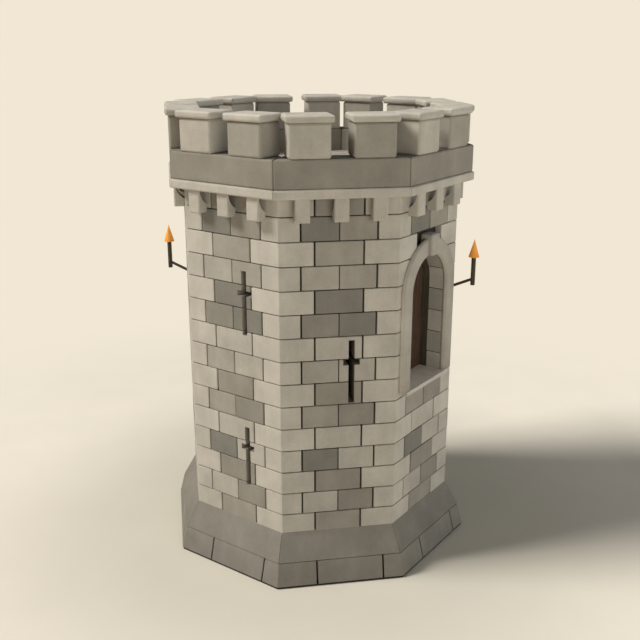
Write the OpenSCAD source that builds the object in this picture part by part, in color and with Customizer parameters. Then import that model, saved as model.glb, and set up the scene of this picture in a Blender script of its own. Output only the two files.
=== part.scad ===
// Octagonal stone watchtower: a battered plinth, ashlar walls with cross-shaped
// arrow loops, a raised arched doorway, a corbelled parapet with capped merlons
// and a torch on each of two opposite corners. The doorway is on the front, -Y.

/* [Walls] */
// Distance across the flats of the walls
wall_across_flats = 4620; // [4400:10:5200]
// Thickness of the walls
wall_thickness = 500; // [490:5:640]
// Level of the top of the walls
wall_top = 6586; // [6400:2:7400]

/* [Plinth] */
// Distance across the flats of the footing at the ground
footing_across_flats = 5280; // [5100:2:5700]
// Distance across the flats at the top of the footing
footing_top_across_flats = 5090; // [4950:2:5500]
// Height of the footing course
footing_height = 432; // [300:2:600]
// Height of the sloped course on the footing
slope_height = 452; // [250:2:600]
// Mortar joint between the mitred lengths of the plinth and the string course
mitre_joint = 3; // [1:1:12]

/* [Arrow loops] */
// Width of the upright slot
loop_slot_width = 100; // [60:2:140]
// Height of the upright slot
loop_height = 1078; // [800:2:1300]
// Length of the cross arms from end to end
loop_arm_span = 275; // [180:1:400]
// Height of the cross arms
loop_arm_height = 94; // [50:2:140]
// Height of the middle of the cross arms above the foot of the slot
loop_arm_level = 703; // [500:1:900]
// Distance of the front left loop from the middle of its wall
diagonal_loop_offset = 209; // [0:1:400]
// Level of the foot of the front left loop
diagonal_loop_foot = 3188; // [2700:1:3600]
// Distance of the paired loops from the middle of their wall
paired_loop_offset = 243; // [0:1:400]
// Level of the foot of the upper paired loop
upper_loop_foot = 4273; // [3800:1:4900]
// Level of the foot of the lower paired loop
lower_loop_foot = 1566; // [1200:1:1800]

/* [Doorway] */
// Clear width of the doorway
door_width = 1150; // [900:10:1200]
// Level of the door sill
door_foot = 3256; // [3000:1:3600]
// Height from the sill to the springing of the arch
door_leg_height = 1636; // [1200:1:1750]
// Width of the dressed stone surround
surround_width = 288; // [180:2:290]
// Projection of the surround in front of the wall
surround_projection = 66; // [50:2:90]
// Depth of the surround behind the face of the wall
surround_depth = 10; // [10:5:100]
// Chamfer on the front edges of the surround
surround_chamfer = 40; // [8:1:44]
// Width of the keystone at its top
key_top_width = 264; // [260:2:400]
// Width of the keystone at its foot
key_foot_width = 250; // [200:2:260]
// Height of the keystone
key_height = 366; // [310:2:370]
// Drop of the keystone below the crown of the arch
key_drop = 4; // [2:1:30]
// Projection of the keystone in front of the wall
key_projection = 134; // [60:2:150]
// Width of the pocket in the wall around the keystone
pocket_width = 800; // [500:5:900]
// Height of the pocket's top above the crown of the arch
pocket_rise = 428; // [380:2:460]
// Height of the pocket
pocket_height = 390; // [360:2:420]
// Depth of the pocket
pocket_depth = 110; // [60:2:150]
// Width of the sill
sill_width = 1490; // [1400:5:1700]
// Projection of the sill in front of the wall
sill_projection = 100; // [60:2:160]
// Thickness of the sill
sill_thickness = 70; // [50:2:120]
// Depth of the stone reveal in front of the door frame
reveal_depth = 280; // [240:5:320]
// Face width of the timber door frame
frame_width = 70; // [40:2:90]
// Depth of the face of the door leaf behind the wall's face
leaf_setback = 422; // [360:2:425]
// Thickness of the door leaf
leaf_thickness = 60; // [30:1:64]

/* [Floors] */
// Thickness of the upper floor
floor_thickness = 200; // [120:5:300]
// Thickness of the roof deck
deck_thickness = 178; // [150:2:240]

/* [Crown] */
// Distance across the flats of the string course
string_across_flats = 5100; // [5060:2:5400]
// Height of the string course
string_height = 147; // [100:1:148]
// Radius on the nosing of the string course
string_nosing_radius = 32; // [10:1:48]
// Width of a corbel
corbel_width = 238; // [150:2:300]
// Height of a corbel
corbel_height = 369; // [300:1:450]
// Projection of a corbel in front of the wall
corbel_projection = 178; // [100:2:200]
// Distance between the middles of neighbouring corbels
corbel_pitch = 600; // [450:5:720]
// Radius on the edges of a corbel
corbel_edge_radius = 28; // [6:1:45]
// Thickness of the front of a corbel at its top, before the hollow at its upper back
corbel_lip = 28; // [16:2:60]
// Distance of the middle of that hollow behind the face of the wall
corbel_hollow_setback = 110; // [60:2:180]
// Distance across the flats of the parapet
parapet_across_flats = 5048; // [4990:2:5060]
// Thickness of the parapet
parapet_thickness = 490; // [490:2:520]
// Open joint between the panels of the parapet and between caps at the corners
panel_joint = 4; // [4:1:24]
// Height of the parapet
parapet_height = 445; // [350:5:600]
// Width of a merlon
merlon_width = 652; // [560:2:670]
// Depth of a merlon
merlon_depth = 486; // [380:2:490]
// Height of a merlon
merlon_height = 524; // [400:2:650]
// Gap between the two merlons on one side
merlon_gap = 336; // [240:2:340]
// Radius on the edges of a merlon
merlon_edge_radius = 44; // [10:1:60]
// Overhang of a cap around its merlon
cap_overhang = 50; // [20:1:60]
// Thickness of a cap
cap_thickness = 120; // [114:2:160]
// Radius on the edges of a cap
cap_edge_radius = 56; // [10:1:56]

/* [Torches] */
// Distance of the torch shaft from the corner of the walls
torch_projection = 326; // [200:2:380]
// Level where the bracket meets the corner
bracket_level = 4722; // [4200:2:5200]
// Rise of the bracket from the corner to the shaft
bracket_rise = 136; // [60:2:200]
// Diameter of the bracket
bracket_diameter = 50; // [24:1:60]
// Diameter of the torch shaft
shaft_diameter = 78; // [60:1:110]
// Length of the torch shaft
shaft_length = 506; // [400:2:700]
// Length of the torch shaft below the bracket
shaft_tail = 112; // [40:2:140]
// Diameter of the foot of the flame
flame_diameter = 188; // [120:1:260]
// Height of the flame
flame_height = 315; // [200:5:400]

/* [Hidden] */
$fn = 64;
ARCH_FACETS = 192;
SIDES = 8;
side_angle = 360 / SIDES;
mitre_angle = side_angle / 2;
front_angle = 0;
front_right_angle = side_angle;
right_angle = 2 * side_angle;
back_right_angle = 3 * side_angle;
back_angle = 4 * side_angle;
back_left_angle = 5 * side_angle;
left_angle = 6 * side_angle;
front_left_angle = 7 * side_angle;
cut_clearance = 20;
wall_radius = wall_across_flats / 2;
inner_radius = wall_radius - wall_thickness;
corner_radius = wall_radius / cos(mitre_angle);
footing_radius = footing_across_flats / 2;
footing_top_radius = footing_top_across_flats / 2;
wall_foot = footing_height + slope_height;
string_radius = string_across_flats / 2;
corbel_hollow_radius = corbel_projection - corbel_lip + corbel_hollow_setback;
parapet_radius = parapet_across_flats / 2;
parapet_inner_radius = parapet_radius - parapet_thickness;
parapet_foot = wall_top + string_height;
merlon_foot = parapet_foot + parapet_height;
merlon_offset = (merlon_gap + merlon_width) / 2;
cap_foot = merlon_foot + merlon_height;
cap_width = merlon_width + 2 * cap_overhang;
cap_depth = merlon_depth + 2 * cap_overhang;
door_radius = door_width / 2;
surround_radius = door_radius + surround_width;
frame_radius = door_radius + frame_width;
door_spring = door_foot + door_leg_height;
door_crown = door_spring + door_radius;
key_foot = door_crown - key_drop;
pocket_foot = door_crown + pocket_rise - pocket_height;
shaft_radius = corner_radius + torch_projection;
shaft_foot = bracket_level + bracket_rise - shaft_tail;
flame_foot = shaft_foot + shaft_length;
far = 2 * footing_radius;

WALL_COLOUR = [0.58, 0.55, 0.48];
PLINTH_COLOUR = [0.49, 0.46, 0.41];
DRESSED_COLOUR = [0.70, 0.67, 0.59];
PARAPET_COLOUR = [0.50, 0.47, 0.41];
TIMBER_COLOUR = [0.36, 0.22, 0.13];
DARK_COLOUR = [0.13, 0.10, 0.08];
FLAME_COLOUR = [0.96, 0.55, 0.12];

// Half the length of an octagon's side at the given distance from the axis
function half_side(radius) = radius * tan(mitre_angle);

// Turns what is drawn on the front to one of the eight sides
module on_side(angle) {
    rotate([0, 0, angle]) children();
}

// Repeats what is drawn on the front on all eight sides
module on_every_side() {
    for (side = [0 : SIDES - 1]) on_side(side_angle * side) children();
}

// Turns what is drawn on the front to the two corners that carry torches
module on_torch_corners() {
    for (turn = [0, 180]) rotate([0, 0, mitre_angle + turn]) children();
}

// Regular octagon with flat sides on the axes
module octagon(radius) {
    rotate(mitre_angle) circle(r = radius / cos(mitre_angle), $fn = SIDES);
}

// Rectangle with round corners, centred
module rounded_rectangle(width, height, radius) {
    square([width - 2 * radius, height], center = true);
    square([width, height - 2 * radius], center = true);
    for (x = [-1, 1], y = [-1, 1])
        translate([x * (width / 2 - radius), y * (height / 2 - radius)]) circle(radius);
}

// Block with rounded edges, standing on its foot, centred across
module rounded_block(width, depth, height, radius) {
    intersection() {
        linear_extrude(height) rounded_rectangle(width, depth, radius);
        translate([0, depth / 2, height / 2]) rotate([90, 0, 0])
            linear_extrude(depth) rounded_rectangle(width, height, radius);
        translate([-width / 2, 0, height / 2]) rotate([90, 0, 90])
            linear_extrude(width) rounded_rectangle(depth, height, radius);
    }
}

// Space of the front side between its two mitre planes, less half a joint on each
module side_wedge(joint) {
    translate([0, -joint / 2 / sin(mitre_angle), 0])
        linear_extrude(far + wall_top) polygon([[0, 0], [half_side(far), -far], [-half_side(far), -far]]);
}

// Mitred length of a course, from its section drawn as distance from the axis and level
module side_course(joint) {
    intersection() {
        rotate([90, 0, -90]) linear_extrude(2 * half_side(far), center = true) children();
        side_wedge(joint);
    }
}

// Mitred wall slab on the front between two levels
module wall_slab(foot, top) {
    translate([0, 0, foot]) linear_extrude(top - foot) polygon([
        [-half_side(wall_radius), -wall_radius], [half_side(wall_radius), -wall_radius],
        [half_side(inner_radius), -inner_radius], [-half_side(inner_radius), -inner_radius]
    ]);
}

// Takes an outline on the front of the wall through the depths between two setbacks
module in_wall(front, back) {
    translate([0, back - wall_radius, 0]) rotate([90, 0, 0]) linear_extrude(back - front) children();
}

// Cross-shaped outline of an arrow loop
module loop_outline() {
    translate([-loop_slot_width / 2, 0]) square([loop_slot_width, loop_height]);
    translate([-loop_arm_span / 2, loop_arm_level - loop_arm_height / 2])
        square([loop_arm_span, loop_arm_height]);
}

// Wall slab on the front with one arrow loop for each offset and level in the list
module looped_wall(loops) {
    difference() {
        wall_slab(wall_foot, wall_top);
        for (place = loops)
            in_wall(-cut_clearance, wall_thickness + cut_clearance) translate(place) loop_outline();
    }
}

// Wall with an upper and a lower loop, off the middle towards one end
module paired_loop_wall(offset) {
    looped_wall([[offset, upper_loop_foot], [offset, lower_loop_foot]]);
}

// Outline of the doorway at the given distance from its middle line
module door_outline(radius) {
    translate([-radius, door_foot]) square([2 * radius, door_leg_height]);
    translate([0, door_spring]) circle(radius);
}

// Half plane above the springing of the arch
module above_spring() {
    translate([-wall_radius, door_spring]) square([2 * wall_radius, wall_top - door_spring]);
}

// Stepped passage of the doorway through the wall
module door_passage() {
    in_wall(-cut_clearance, surround_depth) door_outline(surround_radius);
    in_wall(-cut_clearance, wall_thickness + cut_clearance) door_outline(door_radius);
    in_wall(reveal_depth, wall_thickness + cut_clearance) door_outline(frame_radius);
}

// Body of the sill, from its front edge to the inside of the wall
module sill_body() {
    in_wall(-sill_projection, wall_thickness)
        translate([-sill_width / 2, door_foot - sill_thickness]) square([sill_width, sill_thickness]);
}

// Wedge of the keystone between two setbacks
module key_body(front, back) {
    in_wall(front, back) polygon([
        [-key_foot_width / 2, key_foot], [key_foot_width / 2, key_foot],
        [key_top_width / 2, key_foot + key_height], [-key_top_width / 2, key_foot + key_height]
    ]);
}

// Section of the surround across one leg, in plan, with its front edges chamfered
module surround_section() {
    depth = surround_projection + surround_depth;
    polygon([
        [0, surround_chamfer], [surround_chamfer, 0],
        [surround_width - surround_chamfer, 0], [surround_width, surround_chamfer],
        [surround_width, depth], [0, depth]
    ]);
}

module footing() {
    color(PLINTH_COLOUR) on_every_side() side_course(mitre_joint) polygon([
        [inner_radius, 0], [footing_radius, 0],
        [footing_top_radius, footing_height], [inner_radius, footing_height]
    ]);
}

module plinth_slope() {
    color(PLINTH_COLOUR) on_every_side() side_course(mitre_joint) polygon([
        [inner_radius, footing_height], [footing_top_radius, footing_height],
        [wall_radius, wall_foot], [inner_radius, wall_foot]
    ]);
}

module wall_front_apron() {
    color(WALL_COLOUR) difference() {
        wall_slab(wall_foot, door_foot);
        sill_body();
    }
}

module wall_front_piers() {
    color(WALL_COLOUR) difference() {
        wall_slab(door_foot, door_spring);
        door_passage();
    }
}

module wall_front_head() {
    color(WALL_COLOUR) difference() {
        wall_slab(door_spring, wall_top);
        door_passage();
        in_wall(-cut_clearance, pocket_depth)
            translate([-pocket_width / 2, pocket_foot]) square([pocket_width, pocket_height]);
        key_body(-key_projection, pocket_depth);
    }
}

module wall_front_right() {
    color(WALL_COLOUR) on_side(front_right_angle) looped_wall([]);
}

module wall_right() {
    color(WALL_COLOUR) on_side(right_angle) paired_loop_wall(-paired_loop_offset);
}

module wall_back_right() {
    color(WALL_COLOUR) on_side(back_right_angle) looped_wall([]);
}

module wall_back() {
    color(WALL_COLOUR) on_side(back_angle) paired_loop_wall(paired_loop_offset);
}

module wall_back_left() {
    color(WALL_COLOUR) on_side(back_left_angle) looped_wall([]);
}

module wall_left() {
    color(WALL_COLOUR) on_side(left_angle) paired_loop_wall(paired_loop_offset);
}

module wall_front_left() {
    color(WALL_COLOUR) on_side(front_left_angle) looped_wall([[diagonal_loop_offset, diagonal_loop_foot]]);
}

module door_sill() {
    color(DRESSED_COLOUR) sill_body();
}

module door_jambs() {
    color(DRESSED_COLOUR) for (hand = [0, 1]) mirror([hand, 0, 0])
        translate([door_radius, -wall_radius - surround_projection, door_foot])
            linear_extrude(door_leg_height) surround_section();
}

module door_arch() {
    color(DRESSED_COLOUR) difference() {
        intersection() {
            translate([0, -wall_radius, door_spring]) rotate([90, 0, 0]) rotate([0, 0, -90])
                rotate_extrude($fn = ARCH_FACETS) translate([door_radius, surround_projection])
                    mirror([0, 1]) surround_section();
            in_wall(-key_projection, wall_thickness) above_spring();
        }
        key_body(-key_projection, pocket_depth);
    }
}

module door_keystone() {
    color(DRESSED_COLOUR) key_body(-key_projection, pocket_depth);
}

module door_frame() {
    color(DARK_COLOUR) in_wall(reveal_depth, wall_thickness) difference() {
        door_outline(frame_radius);
        door_outline(door_radius);
    }
}

module door_leaf() {
    color(TIMBER_COLOUR) in_wall(leaf_setback, leaf_setback + leaf_thickness) door_outline(door_radius);
}

module upper_floor() {
    color(TIMBER_COLOUR) translate([0, 0, door_foot - floor_thickness])
        linear_extrude(floor_thickness) octagon(inner_radius);
}

module roof_deck() {
    color(DRESSED_COLOUR) translate([0, 0, wall_top])
        linear_extrude(deck_thickness) octagon(parapet_inner_radius);
}

module string_course() {
    color(DRESSED_COLOUR) on_every_side() side_course(mitre_joint) translate([0, wall_top]) {
        translate([parapet_inner_radius, 0])
            square([string_radius - string_nosing_radius - parapet_inner_radius, string_height]);
        translate([string_radius - string_height, string_height / 2])
            rounded_rectangle(2 * string_height, string_height, string_nosing_radius);
    }
}

module corbels() {
    color(DRESSED_COLOUR) on_every_side() for (place = [-1, 0, 1])
        translate([place * corbel_pitch, -wall_radius, wall_top - corbel_height])
            corbel();
}

// One corbel with its root at the wall, rounded front and lower edges and a hollow at its upper back
module corbel() {
    difference() {
        intersection() {
            translate([-corbel_width / 2, -corbel_projection, 0])
                cube([corbel_width, corbel_projection, corbel_height]);
            rounded_block(corbel_width, 2 * corbel_projection, 2 * corbel_height, corbel_edge_radius);
        }
        translate([0, corbel_hollow_setback, corbel_height]) rotate([0, 90, 0])
            cylinder(r = corbel_hollow_radius, h = corbel_width + cut_clearance, center = true);
    }
}

// Mitred panel of the parapet on one side
module parapet_panel(angle) {
    color(PARAPET_COLOUR) on_side(angle) side_course(panel_joint)
        translate([parapet_inner_radius, parapet_foot]) square([parapet_thickness, parapet_height]);
}

module parapet_front() {
    parapet_panel(front_angle);
}

module parapet_front_right() {
    parapet_panel(front_right_angle);
}

module parapet_right() {
    parapet_panel(right_angle);
}

module parapet_back_right() {
    parapet_panel(back_right_angle);
}

module parapet_back() {
    parapet_panel(back_angle);
}

module parapet_back_left() {
    parapet_panel(back_left_angle);
}

module parapet_left() {
    parapet_panel(left_angle);
}

module parapet_front_left() {
    parapet_panel(front_left_angle);
}

module merlons() {
    color(PARAPET_COLOUR) on_every_side() for (hand = [-1, 1])
        translate([hand * merlon_offset, merlon_depth / 2 - parapet_radius, merlon_foot])
            rounded_block(merlon_width, merlon_depth, merlon_height, merlon_edge_radius);
}

module merlon_caps() {
    color(DRESSED_COLOUR) on_every_side() intersection() {
        for (hand = [-1, 1])
            translate([hand * merlon_offset, merlon_depth / 2 - parapet_radius, cap_foot])
                rounded_block(cap_width, cap_depth, cap_thickness, cap_edge_radius);
        side_wedge(panel_joint);
    }
}

module torch_brackets() {
    color(DARK_COLOUR) on_torch_corners() difference() {
        translate([0, -corner_radius, bracket_level])
            rotate([90 - atan2(bracket_rise, torch_projection), 0, 0])
                translate([0, 0, -bracket_diameter])
                    cylinder(d = bracket_diameter, h = bracket_diameter + norm([torch_projection, bracket_rise]));
        rotate([0, 0, -mitre_angle]) linear_extrude(wall_top) octagon(wall_radius);
        torch_shaft();
    }
}

// Upright shaft of the torch in front of a corner
module torch_shaft() {
    translate([0, -shaft_radius, shaft_foot]) cylinder(d = shaft_diameter, h = shaft_length);
}

module torch_shafts() {
    color(DARK_COLOUR) on_torch_corners() torch_shaft();
}

module torch_flames() {
    color(FLAME_COLOUR) on_torch_corners() translate([0, -shaft_radius, flame_foot])
        cylinder(d1 = flame_diameter, d2 = 0, h = flame_height);
}

footing();
plinth_slope();
wall_front_apron();
wall_front_piers();
wall_front_head();
wall_front_right();
wall_right();
wall_back_right();
wall_back();
wall_back_left();
wall_left();
wall_front_left();
door_sill();
door_jambs();
door_arch();
door_keystone();
door_frame();
door_leaf();
upper_floor();
roof_deck();
string_course();
corbels();
parapet_front();
parapet_front_right();
parapet_right();
parapet_back_right();
parapet_back();
parapet_back_left();
parapet_left();
parapet_front_left();
merlons();
merlon_caps();
torch_brackets();
torch_shafts();
torch_flames();
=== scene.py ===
"""Dresses the solids of an octagonal stone watchtower with stones, boards and finishes, on a plain stage."""

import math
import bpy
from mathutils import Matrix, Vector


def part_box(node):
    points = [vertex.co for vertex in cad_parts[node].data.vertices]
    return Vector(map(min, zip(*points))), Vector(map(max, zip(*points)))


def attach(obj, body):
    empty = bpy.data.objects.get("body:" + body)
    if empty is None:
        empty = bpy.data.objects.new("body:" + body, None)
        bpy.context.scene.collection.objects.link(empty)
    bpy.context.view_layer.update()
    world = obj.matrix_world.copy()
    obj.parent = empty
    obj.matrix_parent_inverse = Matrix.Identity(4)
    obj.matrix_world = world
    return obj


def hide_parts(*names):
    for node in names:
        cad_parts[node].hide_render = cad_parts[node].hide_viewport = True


bl_info = {
    "name": "Octagonal Watchtower",
    "version": (1, 0, 0),
    "blender": (4, 5, 0),
    "location": "3D View > Sidebar > Watchtower",
    "description": "Dresses an octagonal stone watchtower with stones, boards and finishes",
    "category": "Object",
}

import bmesh
import bpy
from bpy.props import FloatProperty, FloatVectorProperty, IntProperty, IntVectorProperty, PointerProperty
from mathutils import Vector

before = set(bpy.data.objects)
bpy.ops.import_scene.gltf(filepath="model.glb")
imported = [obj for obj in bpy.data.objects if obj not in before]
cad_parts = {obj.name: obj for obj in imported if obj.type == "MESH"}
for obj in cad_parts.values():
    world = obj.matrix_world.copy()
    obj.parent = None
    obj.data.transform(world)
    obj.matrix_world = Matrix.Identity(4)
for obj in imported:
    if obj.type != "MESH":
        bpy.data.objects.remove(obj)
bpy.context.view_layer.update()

SIDES = 8
SIDE_TURN = math.tau / SIDES
MITRE = SIDE_TURN / 2
FRONT, FRONT_RIGHT, RIGHT, BACK_RIGHT, BACK, BACK_LEFT, LEFT, FRONT_LEFT = range(SIDES)
LOOPED_WALLS = {"wall_right": RIGHT, "wall_back": BACK, "wall_left": LEFT, "wall_front_left": FRONT_LEFT}
FRONT_WALLS = ("wall_front_apron", "wall_front_piers", "wall_front_head")
PLAIN_WALLS = ("wall_front_right", "wall_back_right", "wall_back_left")
PARAPETS = (
    "parapet_front", "parapet_front_right", "parapet_right", "parapet_back_right",
    "parapet_back", "parapet_back_left", "parapet_left", "parapet_front_left",
)

# Stands for the corner at the right end of a side
CORNER = None

# Tolerances, and the steps of round shapes and worn edges
TOUCH = 0.002
LOOP_SPACING = 1.0
ARC_STEPS = 40
EDGE_STEPS = 5
SHARP_EDGE = math.radians(25)
BEVEL_STEPS = 2
BEVEL_PROFILE = 0.6
MERGE_GAP = 0.0002
FLAT_TURN = math.radians(1)
WORN_TURN = math.radians(35)
WORN_STEPS = 3

# Reach of the cutters past what they cut, and the clearances of the core, the surround and the passage
CUTTER_REACH = 0.1
CORE_GAP = 0.012
CORE_LOOP_GAP = 0.008
CORE_SURROUND_GAP = 0.01
CORE_SURROUND_DEPTH = 0.02
SURROUND_LAP = 0.006
SURROUND_BED = 0.003
PASSAGE_DROP = 0.01

# Tints of cut faces, from the darkest shade of a finish at 0 to its lightest at 1
MORTAR_TINT = 0.0
CUT_TINT = 0.5
PASSAGE_TINT = 0.8

# Sizes of the fine pieces
# Height of the dark bed under the footing stones, partly a mortar joint and partly painted shade for the
# contact shadow on the ground
FOOTING_SHADE_BED = 0.038
FOOTING_LINE = 0.008
FOOTING_EDGE = 0.006
SURROUND_EDGE = 0.045
BOARDS = 6
BOARD_GAP = 0.0004
BOARD_EDGE = 0.005
BOARD_SPARE = 0.02
WORN_EDGES = {
    "plinth_slope": 0.010, "corbels": 0.004, "string_course": 0.006, "merlons": 0.022, "merlon_caps": 0.004,
    "door_keystone": 0.040, "door_sill": 0.016, "door_frame": 0.005, "torch_shafts": 0.006,
    **dict.fromkeys(PARAPETS, 0.028),
}

# Corbels and merlons on a side, seeds, the corner stones' share of the play, and no stone left out
CORBELS = 3
MERLONS = 2
CORBEL_SEED = 5
MERLON_SEED = 549
CAP_SEED = 9
BOARD_SEED = 4
QUOIN_SEED_STEP = 10
QUOIN_PLAY = 0.5
NONE_LEFT_OUT = -1

# Shares of the colour of a finish, and the ranges that patterns are spread from
SLOPE_SHARE = 0.93
# The surround's front takes the dark share; the light share is painted light on its rounded edges and sides,
# against the shade where it meets the wall
SURROUND_DARK, SURROUND_PAINTED_LIGHT = 0.9, 1.05
TIMBER_DARK, TIMBER_LIGHT = 0.45, 1.25
FIBRE_SHARE = 0.35
BOARD_LEAST, BOARD_SPREAD = 0.7, 0.5
FLAME_FOOT = (0.92, 0.86, 0.80)
FLAME_TIP = (1.08, 1.16, 1.20)
NOISE_LOW, NOISE_HIGH = 0.3, 0.7
# Turn of the normal over which upward faces get their painted top light, from none to full
UPWARD_LOW, UPWARD_HIGH = 0.15, 0.85

# Places of the sockets for plain random numbers and for mixed colours
RANDOM_LOW, RANDOM_HIGH, RANDOM_RESULT = 2, 3, 1
MIX_FACTOR, MIX_A, MIX_B, MIX_RESULT = 0, 6, 7, 2

# Ground, lamps and camera
GROUND_REACH = 400.0
GROUND_DROP = 0.002
# Distances over which the ground goes from its darker colour near the tower, painted shade round the foot, to
# its far colour
NEAR_SHADE_FADE = (3.2, 7.2)
FAR_FADE = (8.0, 14.0)
LAMP_DISTANCE = 20.0
LENS = 50.0
SENSOR_WIDTH = 36.0

# Sizes read from the solids
WALL_RADIUS = -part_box("wall_left")[0].x
INNER_RADIUS = -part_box("wall_left")[1].x
WALL_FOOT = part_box("wall_left")[0].z
WALL_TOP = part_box("wall_left")[1].z
FOOTING_RADIUS = -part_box("footing")[0].x
FOOTING_TOP_RADIUS = -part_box("plinth_slope")[0].x
FOOTING_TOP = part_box("footing")[1].z
DOOR_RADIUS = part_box("door_leaf")[1].x
DOOR_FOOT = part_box("door_leaf")[0].z
DOOR_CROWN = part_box("door_leaf")[1].z
DOOR_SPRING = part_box("door_jambs")[1].z
LEAF_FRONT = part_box("door_leaf")[0].y + WALL_RADIUS
LEAF_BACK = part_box("door_leaf")[1].y + WALL_RADIUS
SURROUND_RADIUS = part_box("door_jambs")[1].x
SURROUND_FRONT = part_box("door_jambs")[0].y + WALL_RADIUS
SURROUND_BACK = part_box("door_jambs")[1].y + WALL_RADIUS
SURROUND_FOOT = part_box("door_jambs")[0].z
FRAME_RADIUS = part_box("door_frame")[1].x
REVEAL_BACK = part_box("door_frame")[0].y + WALL_RADIUS
KEY_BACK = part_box("door_keystone")[1].y + WALL_RADIUS
KEY_MIDDLE = sum(corner.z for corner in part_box("door_keystone")) / 2
HALF_SIDE = WALL_RADIUS * math.tan(MITRE)


def length_setting(name, description, default, low, high):
    """Setting of a length in the sidebar."""
    return FloatProperty(
        name=name, description=description, default=default, min=low, max=high, unit="LENGTH")


def colour_setting(name, description, default):
    """Setting of a colour in the sidebar."""
    return FloatVectorProperty(
        name=name, description=description, default=default, min=0, max=1, subtype="COLOR")


def angle_setting(name, description, degrees):
    """Setting of an angle in the sidebar, with its default in degrees."""
    return FloatProperty(name=name, description=description, default=math.radians(degrees), subtype="ANGLE")


def strength_setting(name, description, default, high=20):
    """Setting of the strength of a light in the sidebar."""
    return FloatProperty(name=name, description=description, default=default, min=0, max=high)


class TowerStones(bpy.types.PropertyGroup):
    """Sizes of the stones of the walls and the footing"""

    first_course: length_setting(
        "First course", "Level of the foot of the lowest course of the walls", 0.8275, 0.5, 1.2)
    course_height: length_setting("Course height", "Height from one bed joint to the next", 0.3898, 0.2, 0.6)
    courses: IntProperty(
        name="Courses", description="Number of courses in the walls", default=15, min=1, max=30)
    long_quoin: length_setting(
        "Long corner stone", "Length of a long corner stone on each side of the corner", 0.553, 0.3, 0.8)
    short_quoin: length_setting(
        "Short corner stone", "Length of a short corner stone on each side of the corner", 0.337, 0.2, 0.6)
    upright_joint: length_setting(
        "Upright joint", "Width of the upright joints beside the corner stones", 0.026, 0.004, 0.06)
    bed_joint: length_setting(
        "Bed joint", "Width of the bed joints and of the joint between two blocks", 0.013, 0.002, 0.04)
    depth: length_setting("Depth", "Depth of the stones into the wall", 0.280, 0.1, 0.4)
    core_setback: length_setting(
        "Core set-back", "Depth of the mortar of the joints behind the wall's face", 0.055, 0.01, 0.1)
    edge: length_setting("Worn edge", "Width of the bevel on the edges of the stones", 0.014, 0.002, 0.04)
    play: length_setting(
        "Play", "How far a stone may stand out from the wall's face or back from it", 0.005, 0.0, 0.02)
    footing_joint_left: length_setting(
        "Footing joint left", "Distance of the footing's left joint from a side's middle", 0.400, 0.1, 0.9)
    footing_joint_right: length_setting(
        "Footing joint right", "Distance of the footing's right joint from a side's middle", 0.748, 0.1, 0.9)
    footing_joint: length_setting(
        "Footing joint", "Width of the upright joints of the footing", 0.030, 0.004, 0.08)
    seed: IntProperty(
        name="Seed", description="Seed of the tints and play of the corner stones", default=7, min=0)
    block_seeds: IntVectorProperty(
        name="Block seeds", description="Seeds of the tints and play of the single, left and right blocks",
        size=3, default=(789008, 789948, 706293), min=0)


class TowerFinishes(bpy.types.PropertyGroup):
    """Colours of the stone, the timber and the torches"""

    quoin_light: colour_setting(
        "Light corner stone", "Colour of the lightest corner and dressed stones", (0.494, 0.456, 0.385))
    quoin_dark: colour_setting(
        "Dark corner stone", "Colour of the darkest corner and dressed stones", (0.436, 0.401, 0.337))
    block_light: colour_setting(
        "Light block", "Colour of the lightest blocks of the walls", (0.450, 0.415, 0.350))
    block_middle: colour_setting(
        "Middle block", "Colour of the blocks of the walls between the two", (0.275, 0.248, 0.203))
    block_dark: colour_setting(
        "Dark block", "Colour of the darkest blocks of the walls", (0.199, 0.188, 0.156))
    merlon_light: colour_setting("Light merlon", "Colour of the lightest merlons", (0.440, 0.405, 0.335))
    merlon_dark: colour_setting("Dark merlon", "Colour of the darkest merlons", (0.320, 0.292, 0.240))
    parapet: colour_setting("Parapet", "Colour of the panels of the parapet", (0.262, 0.236, 0.192))
    plinth: colour_setting("Plinth", "Colour of the footing and the slope above it", (0.240, 0.218, 0.180))
    mortar: colour_setting("Mortar", "Colour of the core of the walls in the joints", (0.035, 0.031, 0.024))
    deck_joint: colour_setting("Deck joints", "Colour of the joints of the roof deck", (0.080, 0.070, 0.055))
    board: colour_setting("Door boards", "Colour of the boards of the door leaf", (0.084, 0.041, 0.021))
    door_frame: colour_setting("Door frame", "Colour of the frame round the door leaf", (0.072, 0.060, 0.031))
    shaft: colour_setting("Torch timber", "Colour of the torch shafts", (0.070, 0.051, 0.029))
    iron: colour_setting("Iron", "Colour of the torch brackets", (0.055, 0.048, 0.038))
    rust: colour_setting("Rust", "Colour of the rust on the torch brackets", (0.085, 0.048, 0.026))
    flame: colour_setting("Flame", "Colour of the torch flames", (0.930, 0.390, 0.074))


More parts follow.
